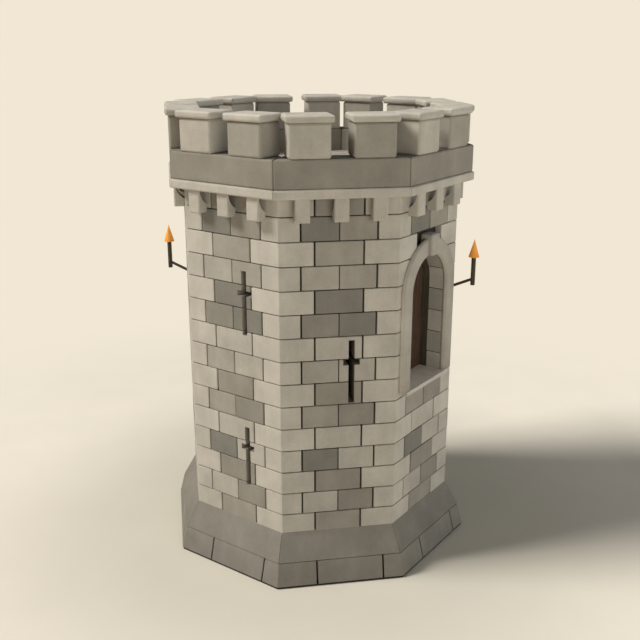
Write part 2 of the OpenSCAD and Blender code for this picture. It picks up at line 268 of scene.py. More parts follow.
class TowerStage(bpy.types.PropertyGroup):
    """Camera, light and ground"""

    azimuth: angle_setting("Camera azimuth", "Turn of the camera round the tower from the front", -54.450)
    elevation: angle_setting("Camera elevation", "Height of the camera above the horizon", 17.548)
    distance: length_setting("Camera distance", "Distance of the camera from its target", 16.504, 5, 60)
    target: FloatVectorProperty(
        name="Camera target", description="Point in the middle of the picture",
        default=(0.0594, -0.0505, 3.8914), subtype="XYZ", unit="LENGTH")
    key_strength: strength_setting("Key light", "Strength of the light from the left", 3.2)
    key_colour: colour_setting("Key colour", "Colour of the key light", (1.0, 0.972, 0.935))
    key_azimuth: angle_setting(
        "Key azimuth", "Direction that the key light comes from, from the +X axis", 133)
    key_elevation: angle_setting("Key elevation", "Height of the key light above the horizon", 44)
    key_spread: angle_setting("Key spread", "Width of the key light in the sky", 19)
    fill_strength: strength_setting("Fill light", "Strength of the light from the camera's side", 1.38)
    fill_colour: colour_setting("Fill colour", "Colour of the fill light", (1.0, 1.0, 1.0))
    fill_azimuth: angle_setting(
        "Fill azimuth", "Direction that the fill light comes from, from the +X axis", 243)
    fill_elevation: angle_setting("Fill elevation", "Height of the fill light above the horizon", 3)
    fill_spread: angle_setting("Fill spread", "Width of the fill light in the sky", 40)
    rim_strength: strength_setting("Rim light", "Strength of the light from the right", 1.15)
    rim_colour: colour_setting("Rim colour", "Colour of the rim light", (0.88, 0.96, 1.0))
    rim_azimuth: angle_setting(
        "Rim azimuth", "Direction that the rim light comes from, from the +X axis", 325)
    rim_elevation: angle_setting("Rim elevation", "Height of the rim light above the horizon", 3)
    rim_spread: angle_setting("Rim spread", "Width of the rim light in the sky", 30)
    sky: strength_setting("Sky", "Strength of the even light from all round", 0.15, 5)
    sky_colour: colour_setting("Sky colour", "Colour of the even light from all round", (0.97, 0.98, 1.0))
    # The ground's colour near the tower is darker than the far ground: painted shade round its foot
    ground: colour_setting("Ground", "Colour of the ground at the foot of the tower", (0.700, 0.656, 0.549))
    far_ground: colour_setting(
        "Far ground", "Colour of the ground away from the tower", (0.920, 0.852, 0.725))
    backdrop: colour_setting("Backdrop", "Colour of the background", (0.880, 0.800, 0.660))


def outward(side):
    """Unit vector out of the middle of a side; the front is side 0."""
    turn = SIDE_TURN * side - math.pi / 2
    return Vector((math.cos(turn), math.sin(turn), 0))


def along(side):
    """Unit vector along a side, to the right seen from outside."""
    turn = SIDE_TURN * side
    return Vector((math.cos(turn), math.sin(turn), 0))


def plan_point(side, across, radius):
    """Plan position on a side at a distance from the axis; CORNER stands for the corner at its right end."""
    if across is CORNER:
        across = radius * math.tan(MITRE)
    return outward(side) * radius + along(side) * across


def face_point(side, across, depth, level):
    """Point behind the wall's face on a side, at a distance right of its middle and a level."""
    point = plan_point(side, across, WALL_RADIUS - depth)
    point.z = level
    return point


def link_object(name, data):
    """Puts an object with its data in the scene."""
    made = bpy.data.objects.new(name, data)
    bpy.context.scene.collection.objects.link(made)
    return made


def add_object(name, bm):
    """Makes an object of a bmesh, with its faces outwards, in the scene."""
    bmesh.ops.recalc_face_normals(bm, faces=bm.faces)
    mesh = bpy.data.meshes.new(name)
    bm.to_mesh(mesh)
    bm.free()
    return link_object(name, mesh)


def remove_object(made):
    """Removes an object and its mesh."""
    mesh = made.data
    bpy.data.objects.remove(made)
    bpy.data.meshes.remove(mesh)


def bake_modifiers(piece):
    """Turns a piece with its modifiers into a plain mesh."""
    depsgraph = bpy.context.evaluated_depsgraph_get()
    mesh = bpy.data.meshes.new_from_object(
        piece.evaluated_get(depsgraph), preserve_all_data_layers=True, depsgraph=depsgraph)
    if not mesh.polygons:
        raise RuntimeError(f"{piece.name} came out empty")
    piece.modifiers.clear()
    old = piece.data
    piece.data = mesh
    mesh.name = piece.name
    bpy.data.meshes.remove(old)


def bevel_edges(bm, width):
    """Bevels the outer edges of a bmesh that turn sharply."""
    bmesh.ops.recalc_face_normals(bm, faces=bm.faces)
    edges = [edge for edge in bm.edges if edge.calc_face_angle_signed(0) > SHARP_EDGE]
    bmesh.ops.bevel(
        bm, geom=edges, offset=width, segments=BEVEL_STEPS, profile=BEVEL_PROFILE, affect="EDGES",
        clamp_overlap=True)


def stone(name, stations, inner, outer_foot, outer_top, foot, top, edge):
    """Bevelled block along plan stations on the sides, with its outer face battered between two radii."""
    bm = bmesh.new()
    sections = []
    for side, across in stations:
        section = []
        for radius, level in ((inner, foot), (outer_foot, foot), (outer_top, top), (inner, top)):
            point = plan_point(side, across, radius)
            section.append(bm.verts.new((point.x, point.y, level)))
        sections.append(section)
    for a, b in zip(sections, sections[1:]):
        for k in range(len(a)):
            bm.faces.new((a[k - 1], a[k], b[k], b[k - 1]))
    bm.faces.new(sections[0])
    bm.faces.new(sections[-1])
    bevel_edges(bm, edge)
    return add_object(name, bm)


def ring(name, inner, outer, foot, top):
    """Eight-sided ring between two radii and two levels."""
    bm = bmesh.new()
    loops = []
    for radius, level in ((inner, foot), (outer, foot), (outer, top), (inner, top)):
        points = [plan_point(side, CORNER, radius) for side in range(SIDES)]
        loops.append([bm.verts.new((point.x, point.y, level)) for point in points])
    for k in range(len(loops)):
        a, b = loops[k - 1], loops[k]
        for i in range(SIDES):
            bm.faces.new((a[i - 1], a[i], b[i], b[i - 1]))
    return add_object(name, bm)


def set_tint(made, tint):
    """Keeps one tint on all faces of an object."""
    layer = made.data.attributes.new("tint", "FLOAT", "FACE")
    layer.data.foreach_set("value", [tint] * len(made.data.polygons))


def prism(name, side, outline, front, back, tint=CUT_TINT):
    """Closed prism of an outline on a side of the walls, as (across, level) points, between two depths."""
    bm = bmesh.new()
    near = [bm.verts.new(face_point(side, across, front, level)) for across, level in outline]
    far = [bm.verts.new(face_point(side, across, back, level)) for across, level in outline]
    bm.faces.new(near)
    bm.faces.new(far)
    for k in range(len(outline)):
        bm.faces.new((near[k - 1], near[k], far[k], far[k - 1]))
    made = add_object(name, bm)
    set_tint(made, tint)
    return made


def door_outline(radius, foot):
    """Outline of the doorway at a distance from its middle line."""
    steps = [math.pi * k / ARC_STEPS for k in range(ARC_STEPS + 1)]
    arc = [(radius * math.cos(turn), DOOR_SPRING + radius * math.sin(turn)) for turn in steps]
    return [(-radius, foot), (radius, foot)] + arc


def box_outline(left, right, foot, top):
    """Outline of a rectangle."""
    return [(left, foot), (right, foot), (right, top), (left, top)]


def loop_outlines(node, side, grow):
    """Cross-shaped outlines of the arrow loops of a wall node, read from its corners on the wall's face."""
    corners = set()
    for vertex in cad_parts[node].data.vertices:
        across = vertex.co.dot(along(side))
        level = vertex.co.z
        on_face = abs(vertex.co.dot(outward(side)) - WALL_RADIUS) < TOUCH
        inside = abs(across) < HALF_SIDE - TOUCH and WALL_FOOT + TOUCH < level < WALL_TOP - TOUCH
        if on_face and inside:
            corners.add((round(level, 4), round(across, 4)))
    loops = []
    for corner in sorted(corners):
        if not loops or corner[0] - loops[-1][-1][0] > LOOP_SPACING:
            loops.append([])
        loops[-1].append(corner)
    outlines = []
    for loop in loops:
        foot, arm_foot, arm_top, top = sorted({level for level, across in loop})
        foot, arm_foot = foot - grow, arm_foot - grow
        top, arm_top = top + grow, arm_top + grow
        slot = [across for level, across in loop if level == loop[0][0]]
        left, right = min(slot) - grow, max(slot) + grow
        arm_left = min(across for level, across in loop) - grow
        arm_right = max(across for level, across in loop) + grow
        outlines.append([
            (left, foot), (right, foot), (right, arm_foot), (arm_right, arm_foot),
            (arm_right, arm_top), (right, arm_top), (right, top), (left, top),
            (left, arm_top), (arm_left, arm_top), (arm_left, arm_foot), (left, arm_foot),
        ])
    return outlines


def loop_cutters(grow):
    """Prisms of all arrow loops, right through the walls."""
    inside = WALL_RADIUS - INNER_RADIUS + CUTTER_REACH
    cutters = []
    for node, side in LOOPED_WALLS.items():
        for k, outline in enumerate(loop_outlines(node, side, grow)):
            cutters.append(prism(f"cut_{node}_{k}", side, outline, -CUTTER_REACH, inside))
    return cutters


def cut(piece, cutters, operation="DIFFERENCE"):
    """Cuts a piece with each of the cutters, or keeps what it shares with them, and removes the cutters."""
    for cutter in cutters:
        modifier = piece.modifiers.new(cutter.name, "BOOLEAN")
        modifier.operation = operation
        modifier.solver = "EXACT"
        modifier.object = cutter
    bake_modifiers(piece)
    for cutter in cutters:
        remove_object(cutter)


def feed(tree, node, values):
    """Links output sockets to the inputs of a node, or sets the inputs to plain values."""
    for name, value in values.items():
        if isinstance(value, bpy.types.NodeSocket):
            tree.links.new(value, node.inputs[name])
        else:
            node.inputs[name].default_value = value


def add_node(tree, kind, values=None, **settings):
    """Adds a node to a tree, with its settings and what its inputs get."""
    node = tree.nodes.new(kind)
    for name, value in settings.items():
        setattr(node, name, value)
    feed(tree, node, values or {})
    return node


def maths(tree, operation, *values):
    """Adds a maths node and returns its result."""
    return add_node(tree, "ShaderNodeMath", dict(enumerate(values)), operation=operation).outputs[0]


def scaled(tree, vector, share):
    """Adds a vector times a number and returns it."""
    return add_node(tree, "ShaderNodeVectorMath", {0: vector, "Scale": share}, operation="SCALE").outputs[0]


def random_value(tree, low, high, index, seed):
    """Adds a seeded random number for each index and returns it."""
    values = {RANDOM_LOW: low, RANDOM_HIGH: high, "ID": index, "Seed": seed}
    return add_node(tree, "FunctionNodeRandomValue", values, data_type="FLOAT").outputs[RANDOM_RESULT]


def laying_tree():
    """Tree that lays copies of one piece in rows and round the axis, each with its own tint and play."""
    tree = bpy.data.node_groups.new("Lay pieces", "GeometryNodeTree")
    sockets = {
        "Piece": "NodeSocketObject", "Finish": "NodeSocketMaterial", "Rows": "NodeSocketInt",
        "Around": "NodeSocketInt", "Step": "NodeSocketVector", "Play": "NodeSocketVector",
        "Left out": "NodeSocketInt", "Seed": "NodeSocketInt",
    }
    for name, kind in sockets.items():
        tree.interface.new_socket(name=name, in_out="INPUT", socket_type=kind)
    tree.interface.new_socket(name="Geometry", in_out="OUTPUT", socket_type="NodeSocketGeometry")
    given = add_node(tree, "NodeGroupInput").outputs
    index = add_node(tree, "GeometryNodeInputIndex").outputs[0]

    count = maths(tree, "MULTIPLY", given["Rows"], given["Around"])
    row = maths(tree, "FLOOR", maths(tree, "DIVIDE", index, given["Around"]))
    place = maths(tree, "MULTIPLY", maths(tree, "MODULO", index, given["Around"]), math.tau)
    turn = maths(tree, "DIVIDE", place, given["Around"])
    points = add_node(tree, "GeometryNodeMeshLine", {"Count": count})
    placed = add_node(tree, "GeometryNodeSetPosition", {
        "Geometry": points.outputs[0], "Position": scaled(tree, given["Step"], row)})
    tint = random_value(tree, 0.0, 1.0, row, maths(tree, "ADD", given["Seed"], 1.0))
    tinted = add_node(tree, "GeometryNodeStoreNamedAttribute", data_type="FLOAT", domain="POINT")
    feed(tree, tinted, {"Geometry": placed.outputs[0], "Name": "piece_tint", "Value": tint})
    piece = add_node(tree, "GeometryNodeObjectInfo", {"Object": given["Piece"], "As Instance": True})
    left_out = maths(tree, "COMPARE", index, given["Left out"], 0.5)
    rotation = add_node(tree, "ShaderNodeCombineXYZ", {"Z": turn})
    laid = add_node(tree, "GeometryNodeInstanceOnPoints", {
        "Points": tinted.outputs[0], "Selection": maths(tree, "SUBTRACT", 1.0, left_out),
        "Instance": piece.outputs["Geometry"], "Rotation": rotation.outputs[0]})

    play = random_value(tree, -1.0, 1.0, index, given["Seed"])
    shifted = add_node(tree, "GeometryNodeTranslateInstances", {
        "Instances": laid.outputs[0], "Translation": scaled(tree, given["Play"], play), "Local Space": True})
    real = add_node(tree, "GeometryNodeRealizeInstances", {"Geometry": shifted.outputs[0]})
    held = add_node(tree, "GeometryNodeInputNamedAttribute", {"Name": "piece_tint"}, data_type="FLOAT")
    on_faces = add_node(tree, "GeometryNodeStoreNamedAttribute", data_type="FLOAT", domain="FACE")
    feed(tree, on_faces, {"Geometry": real.outputs[0], "Name": "tint", "Value": held.outputs[0]})
    finished = add_node(tree, "GeometryNodeSetMaterial", {
        "Geometry": on_faces.outputs[0], "Material": given["Finish"]})
    add_node(tree, "NodeGroupOutput", {"Geometry": finished.outputs[0]})
    return tree


def lay(name, pieces, **values):
    """Lays copies of each base piece by the tree and joins them in one object; the base pieces are removed.

    Each base piece comes with its own values, which are added to the common ones."""
    tree = bpy.data.node_groups.get("Lay pieces") or laying_tree()
    inputs = {
        item.name: item.identifier for item in tree.interface.items_tree
        if item.item_type == "SOCKET" and item.in_out == "INPUT"
    }
    joined = bmesh.new()
    for base, own in pieces:
        host = link_object(name, bpy.data.meshes.new(name))
        modifier = host.modifiers.new("Lay", "NODES")
        modifier.node_group = tree
        for label, value in {"Piece": base, "Left out": NONE_LEFT_OUT, **values, **own}.items():
            modifier[inputs[label]] = value
        bake_modifiers(host)
        joined.from_mesh(host.data)
        remove_object(host)
        remove_object(base)
    mesh = bpy.data.meshes.new(name)
    joined.to_mesh(mesh)
    joined.free()
    mesh.materials.append(values["Finish"])
    mesh.polygons.foreach_set("material_index", [0] * len(mesh.polygons))
    return link_object(name, mesh)


def new_material(name):
    """Makes a material and returns it with its tree, its shader and the coordinates of its object."""
    material = bpy.data.materials.new(name)
    material.use_nodes = True
    tree = material.node_tree
    coordinates = add_node(tree, "ShaderNodeTexCoord").outputs["Object"]
    return material, tree, tree.nodes["Principled BSDF"], coordinates


def noise(tree, coordinates, scale, detail, roughness, low=0.0, high=1.0, stretch=(1, 1, 1)):
    """Adds a noise pattern, spread to a range, and returns it."""
    mapping = add_node(tree, "ShaderNodeMapping", {"Vector": coordinates, "Scale": stretch})
    texture = add_node(tree, "ShaderNodeTexNoise", {
        "Vector": mapping.outputs[0], "Scale": scale, "Detail": detail, "Roughness": roughness})
    spread = add_node(tree, "ShaderNodeMapRange", {
        "Value": texture.outputs["Fac"], "From Min": NOISE_LOW, "From Max": NOISE_HIGH,
        "To Min": low, "To Max": high})
    return spread.outputs[0]


def mix(tree, factor, a, b, blend="MIX"):
    """Mixes two colours and returns the result."""
    values = {MIX_FACTOR: factor, MIX_A: a, MIX_B: b}
    return add_node(tree, "ShaderNodeMix", values, data_type="RGBA", blend_type=blend).outputs[MIX_RESULT]


def shaded(tree, colour, *shades):
    """Multiplies a colour by each of the shades and returns the result."""
    for shade in shades:
        colour = mix(tree, 1.0, colour, shade, "MULTIPLY")
    return colour


def fading(tree, value, near, far, low=0.0):
    """Adds a smooth rise to one between two values and returns it."""
    values = {"Value": value, "From Min": near, "From Max": far, "To Min": low}
    return add_node(tree, "ShaderNodeMapRange", values, interpolation_type="SMOOTHSTEP").outputs[0]


def axes(tree, vector):
    """Splits a vector and returns its parts under their names."""
    return add_node(tree, "ShaderNodeSeparateXYZ", {0: vector}).outputs


def bump(tree, height, strength, distance):
    """Adds the normals of an uneven face and returns them."""
    values = {"Height": height, "Strength": strength, "Distance": distance}
    return add_node(tree, "ShaderNodeBump", values).outputs[0]


def opaque(colour):
    """A colour with full alpha."""
    return (*colour, 1.0)


def toned(colour, share):
    """A colour made darker or lighter by a share."""
    return tuple(share * part for part in colour)


def attribute_tint(tree, coordinates):
    """Tint of each stone or board, kept on its faces or corners."""
    return add_node(tree, "ShaderNodeAttribute", attribute_name="tint").outputs["Fac"]


def even_tint(tree, coordinates):
    """A middle tint all over."""
    return 0.5


def turning_tint(cells, offset, seed):
    """Makes a tint that changes from one equal part of a side to the next, alike on every side."""
    def tint(tree, coordinates):
        place = axes(tree, coordinates)
        angle = maths(tree, "ADD", maths(tree, "ARCTAN2", place["Y"], place["X"]), offset)
        cell = maths(tree, "FLOOR", maths(tree, "MULTIPLY", angle, cells / SIDE_TURN))
        wrapped = maths(tree, "FLOORED_MODULO", cell, float(cells))
        pair = add_node(tree, "ShaderNodeCombineXYZ", {"X": wrapped, "Y": float(seed)})
        grain = add_node(tree, "ShaderNodeTexWhiteNoise", noise_dimensions="2D")
        feed(tree, grain, {"Vector": pair.outputs[0]})
        return grain.outputs["Value"]
    return tint


def stone_material(name, shades, tint, foot_darkening=0.0, painted_top_light=0.0):
    """Weathered stone in a range of shades, with mottling, grain, streaks, painted light on its upward faces
    and an uneven face.
    """
    material, tree, shader, coordinates = new_material(name)
    ramp = add_node(tree, "ShaderNodeValToRGB", {0: tint(tree, coordinates)})
    stops = ramp.color_ramp.elements
    for k, shade in enumerate(shades):
        stop = stops[k] if k < len(stops) else stops.new(1.0)
        stop.position = k / (len(shades) - 1)
        stop.color = opaque(shade)
    patches = noise(tree, coordinates, scale=2.1, detail=5, roughness=0.6, low=0.87, high=1.10)
    grain = noise(tree, coordinates, scale=55, detail=6, roughness=0.7, low=0.90, high=1.07)
    streaks = noise(
        tree, coordinates, scale=5, detail=4, roughness=0.6, low=0.94, high=1.04, stretch=(1, 1, 0.15))
    colour = shaded(tree, ramp.outputs["Color"], patches, grain, streaks)
    # Darker towards the foot of the tower, by the given share at the ground
    if foot_darkening:
        rise = fading(tree, axes(tree, coordinates)["Z"], 0.0, WALL_FOOT, 1.0 - foot_darkening)
        colour = shaded(tree, colour, rise)
    # Painted highlight: upward faces are made lighter by the given share, standing in for light from above
    if painted_top_light:
        normal = add_node(tree, "ShaderNodeNewGeometry").outputs["Normal"]
        upward = fading(tree, axes(tree, normal)["Z"], UPWARD_LOW, UPWARD_HIGH)
        colour = shaded(tree, colour, maths(tree, "MULTIPLY_ADD", upward, painted_top_light, 1.0))
    rough = noise(tree, coordinates, scale=14, detail=3, roughness=0.5, low=0.84, high=0.97)
    fine = noise(tree, coordinates, scale=38, detail=6, roughness=0.65)
    coarse = noise(tree, coordinates, scale=7, detail=4, roughness=0.5)
    feed(tree, shader, {
        "Base Color": colour, "Roughness": rough, "Specular IOR Level": 0.25,
        "Normal": bump(tree, maths(tree, "ADD", fine, coarse), strength=0.30, distance=0.008)})
    return material


def flag_material(name, dark, light, joint):
    """Square flagstones with dark joints on a level deck."""
    material, tree, shader, coordinates = new_material(name)
    flags = add_node(tree, "ShaderNodeTexBrick", {
        "Vector": coordinates, "Color1": opaque(dark), "Color2": opaque(light), "Mortar": opaque(joint),
        "Scale": 1.0, "Mortar Size": 0.012, "Mortar Smooth": 0.3, "Brick Width": 0.62, "Row Height": 0.48})
    patches = noise(tree, coordinates, scale=2.6, detail=5, roughness=0.6, low=0.86, high=1.08)
    grain = noise(tree, coordinates, scale=50, detail=6, roughness=0.7, low=0.91, high=1.06)
    height = maths(tree, "SUBTRACT", grain, flags.outputs["Fac"])
    feed(tree, shader, {
        "Base Color": shaded(tree, flags.outputs["Color"], patches, grain), "Roughness": 0.92,
        "Normal": bump(tree, height, strength=0.4, distance=0.012)})
    return material


def timber_material(name, colour, tint=None):
    """Old timber with upright grain and darker streaks, and a tint of each board where one is given."""
    material, tree, shader, coordinates = new_material(name)
    grain = noise(tree, coordinates, scale=3, detail=6, roughness=0.65, stretch=(14, 14, 0.7))
    fibres = noise(tree, coordinates, scale=9, detail=5, roughness=0.7, stretch=(24, 24, 0.5))
    dark = opaque(toned(colour, TIMBER_DARK))
    figure = mix(tree, grain, dark, opaque(toned(colour, TIMBER_LIGHT)))
    figure = mix(tree, maths(tree, "MULTIPLY", fibres, FIBRE_SHARE), figure, dark)
    if tint:
        level = maths(tree, "MULTIPLY_ADD", tint(tree, coordinates), BOARD_SPREAD, BOARD_LEAST)
        figure = shaded(tree, figure, level)
    rough = noise(tree, coordinates, scale=6, detail=3, roughness=0.5, low=0.7, high=0.9)
    feed(tree, shader, {
        "Base Color": figure, "Roughness": rough,
        "Normal": bump(tree, maths(tree, "ADD", grain, fibres), strength=0.35, distance=0.004)})
    return material


def iron_material(name, colour, rust):
    """Forged iron, dark and slightly rough, with some rust."""
    material, tree, shader, coordinates = new_material(name)
    scale = noise(tree, coordinates, scale=30, detail=5, roughness=0.65, low=0.6, high=1.3)
    rusty = noise(tree, coordinates, scale=8, detail=4, roughness=0.6, high=0.5)
    worn = mix(tree, rusty, opaque(colour), opaque(rust))
    rough = noise(tree, coordinates, scale=20, detail=3, roughness=0.5, low=0.55, high=0.8)
    feed(tree, shader, {
        "Base Color": shaded(tree, worn, scale), "Metallic": 0.4, "Roughness": rough,
        "Normal": bump(tree, scale, strength=0.3, distance=0.002)})
    return material


def flame_material(name, colour, foot, top):
    """Plain orange flame, deeper at its foot and lighter at its tip."""
    material, tree, shader, coordinates = new_material(name)
    height = axes(tree, coordinates)["Z"]
    rise = add_node(tree, "ShaderNodeMapRange", {"Value": height, "From Min": foot, "From Max": top})
    licks = noise(
        tree, coordinates, scale=6, detail=3, roughness=0.5, low=-0.15, high=0.15, stretch=(3, 3, 0.8))
    deep, bright = (
        opaque(min(1.0, part * share) for part, share in zip(colour, shares))
        for shares in (FLAME_FOOT, FLAME_TIP))
    shade = mix(tree, maths(tree, "ADD", rise.outputs[0], licks), deep, bright)
    feed(tree, shader, {
        "Base Color": shade, "Roughness": 0.75, "Specular IOR Level": 0.2,
        "Emission Color": shade, "Emission Strength": 0.08})
    return material


def dress(material, slot, *names):
    """Gives CAD nodes their material, and a worn edge where they have one; the slot is not used."""
    for name in names:
        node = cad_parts[name]
        node.data.materials.clear()
        node.data.materials.append(material)
        if name in WORN_EDGES:
            node.modifiers.new("Merge", "WELD").merge_threshold = MERGE_GAP
            flat = node.modifiers.new("Flat faces", "DECIMATE")
            flat.decimate_type = "DISSOLVE"
            flat.angle_limit = FLAT_TURN
            bevel = node.modifiers.new("Worn edge", "BEVEL")
            bevel.width = WORN_EDGES[name]
            bevel.segments = WORN_STEPS
            bevel.limit_method = "ANGLE"
            bevel.angle_limit = WORN_TURN


def finish_piece(piece, slot, *nodes):
    """Lets a piece ride on the tower and stand for CAD nodes, which it hides; the slot is not used."""
    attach(piece, "root")
    if nodes:
        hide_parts(*nodes)


def key_course(stones):
    """Number of the course that the keystone reaches into, counted from 0 at the foot."""
    return math.floor((KEY_MIDDLE - stones.first_course) / stones.course_height)


def core_cutters(stones):
    """Prisms that cut the loops, the doorway and the pocket behind the keystone out of the core."""
    inside = WALL_RADIUS - INNER_RADIUS + CUTTER_REACH
    surround = door_outline(SURROUND_RADIUS + CORE_SURROUND_GAP, DOOR_FOOT)
    behind = SURROUND_BACK + CORE_SURROUND_DEPTH
    passage = door_outline(DOOR_RADIUS + CORE_GAP, DOOR_FOOT - PASSAGE_DROP)
    foot = stones.first_course + stones.course_height * key_course(stones)
    half = HALF_SIDE - stones.long_quoin + CORE_GAP
    pocket = box_outline(-half, half, foot - CORE_GAP, foot + stones.course_height + CORE_GAP)
    return loop_cutters(CORE_LOOP_GAP) + [
        prism("cut_surround", FRONT, surround, -CUTTER_REACH, behind, MORTAR_TINT),
        prism("cut_passage", FRONT, passage, -2 * CUTTER_REACH, inside, MORTAR_TINT),
        prism("cut_frame", FRONT, door_outline(FRAME_RADIUS, DOOR_FOOT), REVEAL_BACK, inside, MORTAR_TINT),
        prism("cut_pocket", FRONT, pocket, -CUTTER_REACH, KEY_BACK, MORTAR_TINT),
    ]


class TOWER_OT_core(bpy.types.Operator):
    """Build the dark core that shows in the joints, with the loops and the doorway cut through"""

    bl_idname = "tower.core"
    bl_label = "Build the core"

    def execute(self, context):
        stones, finishes = context.scene.tower_stones, context.scene.tower_finishes
        core = ring("wall_core", INNER_RADIUS, WALL_RADIUS - stones.core_setback, WALL_FOOT, WALL_TOP)
        set_tint(core, MORTAR_TINT)
        material = stone_material("Mortar", (finishes.mortar, finishes.quoin_light), attribute_tint)
        core.data.materials.append(material)
        cut(core, core_cutters(stones))
        finish_piece(core, "wall_stone", *LOOPED_WALLS, *FRONT_WALLS, *PLAIN_WALLS)
        return {"FINISHED"}


def wall_cutters():
    """Prisms that cut the loops and the doorway through the stones."""
    surround = door_outline(SURROUND_RADIUS - SURROUND_LAP, DOOR_FOOT)
    passage = door_outline(DOOR_RADIUS, DOOR_FOOT - PASSAGE_DROP)
    return loop_cutters(0.0) + [
        prism("cut_surround", FRONT, surround, -CUTTER_REACH, SURROUND_BACK + SURROUND_BED),
        prism("cut_passage", FRONT, passage, -2 * CUTTER_REACH, REVEAL_BACK + CUTTER_REACH, PASSAGE_TINT),
    ]


def course_base(name, stations, course, stones, own):
    """Stone of the lowest or second course, with the values that lay it in every second course from there."""
    bed = stones.bed_joint / 2
    foot = stones.first_course + course * stones.course_height
    top = foot + stones.course_height - bed
    inner = WALL_RADIUS - stones.depth
    base = stone(name, stations, inner, WALL_RADIUS, WALL_RADIUS, foot + bed, top, stones.edge)
    return base, {"Rows": (stones.courses + 1 - course) // 2, **own}


class TOWER_OT_quoins(bpy.types.Operator):
    """Lay the corner stones, long and short in turn"""

    bl_idname = "tower.quoins"
    bl_label = "Lay the corner stones"

    def execute(self, context):
        stones, finishes = context.scene.tower_stones, context.scene.tower_finishes
        bases = []
        for k, reach in enumerate((stones.long_quoin, stones.short_quoin)):
            stations = ((FRONT, HALF_SIDE - reach), (FRONT, CORNER), (FRONT_RIGHT, reach - HALF_SIDE))
            own = {"Seed": stones.seed + QUOIN_SEED_STEP * k}
            bases.append(course_base(f"quoin_{k}", stations, k, stones, own))
        material = stone_material("Corner stone", (finishes.quoin_dark, finishes.quoin_light), attribute_tint)
        corner = plan_point(FRONT, CORNER, 1.0).normalized()
        quoins = lay("corner_stones", bases, Finish=material, Around=SIDES,
                     Step=(0, 0, 2 * stones.course_height), Play=corner * QUOIN_PLAY * stones.play)
        cut(quoins, wall_cutters())
        finish_piece(quoins, "wall_stone")
        return {"FINISHED"}


class TOWER_OT_blocks(bpy.types.Operator):
    """Lay the blocks between the corner stones, one or two to a course, and cut the loops and the doorway"""

    bl_idname = "tower.blocks"
    bl_label = "Lay the wall blocks"

    def execute(self, context):
        stones, finishes = context.scene.tower_stones, context.scene.tower_finishes
        joint = stones.bed_joint / 2
        single = HALF_SIDE - stones.long_quoin - stones.upright_joint
        double = HALF_SIDE - stones.short_quoin - stones.upright_joint
        layout = (
            (0, -single, single, {"Left out": key_course(stones) // 2 * SIDES}),
            (1, -double, -joint, {}),
            (1, joint, double, {}),
        )
        bases = []
        for k, (course, left, right, gap) in enumerate(layout):
            own = {"Seed": stones.block_seeds[k], **gap}
            bases.append(course_base(f"block_{k}", ((FRONT, left), (FRONT, right)), course, stones, own))
        material = stone_material(
            "Wall block", (finishes.block_dark, finishes.block_middle, finishes.block_light), attribute_tint)
        blocks = lay("wall_blocks", bases, Finish=material, Around=SIDES,
                     Step=(0, 0, 2 * stones.course_height), Play=Vector((0, -stones.play, 0)))
        cut(blocks, wall_cutters())
        finish_piece(blocks, "wall_stone")
        return {"FINISHED"}


class TOWER_OT_plinth(bpy.types.Operator):
    """Lay the footing of large blocks and finish the slope above it"""

    bl_idname = "tower.plinth"
    bl_label = "Lay the plinth"

    def execute(self, context):
        stones, finishes = context.scene.tower_stones, context.scene.tower_finishes
        joint = stones.footing_joint / 2
        left, right = -stones.footing_joint_left, stones.footing_joint_right
        layout = {
            "footing_middle": ((FRONT, left + joint), (FRONT, right - joint)),
            "footing_corner": ((FRONT, right + joint), (FRONT, CORNER), (FRONT_RIGHT, left - joint)),
        }
        bases = []
        for name, stations in layout.items():
            base = stone(name, stations, INNER_RADIUS, FOOTING_RADIUS, FOOTING_TOP_RADIUS, FOOTING_SHADE_BED,
                         FOOTING_TOP - FOOTING_LINE, FOOTING_EDGE)
            bases.append((base, {}))
        material = stone_material("Footing stone", 2 * [finishes.plinth], even_tint, foot_darkening=0.12)
        footing = lay("footing_stones", bases, Finish=material, Rows=1, Around=SIDES)
        finish_piece(footing, "plinth_stone", "footing")
        rings = (
            ("footing_core", FOOTING_TOP_RADIUS - stones.core_setback, FOOTING_SHADE_BED, FOOTING_TOP),
            # Dark mortar ring under the footing stones, brought almost to their face: a bed joint, and also
            # painted shade for the contact shadow at the foot
            ("footing_bed", FOOTING_RADIUS - CORE_GAP, 0.0, FOOTING_SHADE_BED),
        )
        for name, radius, low, high in rings:
            dark = ring(name, INNER_RADIUS, radius, low, high)
            dark.data.materials.append(bpy.data.materials["Mortar"])
            finish_piece(dark, "plinth_stone")
        shade = toned(finishes.plinth, SLOPE_SHARE)
        slope = stone_material("Plinth slope", 2 * [shade], even_tint, foot_darkening=0.10)
        dress(slope, "plinth_stone", "plinth_slope")
        return {"FINISHED"}


class TOWER_OT_crown(bpy.types.Operator):
    """Finish the corbels, the string course, the parapet, the merlons with their caps and the roof deck"""

    bl_idname = "tower.crown"
    bl_label = "Finish the crown"

    def execute(self, context):
        finishes = context.scene.tower_finishes
        dressed = (finishes.quoin_dark, finishes.quoin_light)
        corbel = stone_material("Corbel", dressed, turning_tint(CORBELS, MITRE / CORBELS, CORBEL_SEED))
        string = stone_material("String course", dressed, even_tint)
        panel = stone_material("Parapet panel", 2 * [finishes.parapet], even_tint)
        shades = (finishes.merlon_dark, finishes.merlon_light)
        merlon = stone_material("Merlon", shades, turning_tint(MERLONS, 0.0, MERLON_SEED))
        # Painted light: the caps' upward faces are lightened as if lit from above
        cap = stone_material("Merlon cap", dressed, turning_tint(MERLONS, 0.0, CAP_SEED), painted_top_light=0.32)
        deck = flag_material("Flagstones", *dressed, finishes.deck_joint)
        dress(corbel, "dressed_stone", "corbels")
        dress(string, "dressed_stone", "string_course")
        dress(panel, "parapet_stone", *PARAPETS)
        dress(merlon, "parapet_stone", "merlons")
        dress(cap, "dressed_stone", "merlon_caps")
        dress(deck, "dressed_stone", "roof_deck")
        return {"FINISHED"}


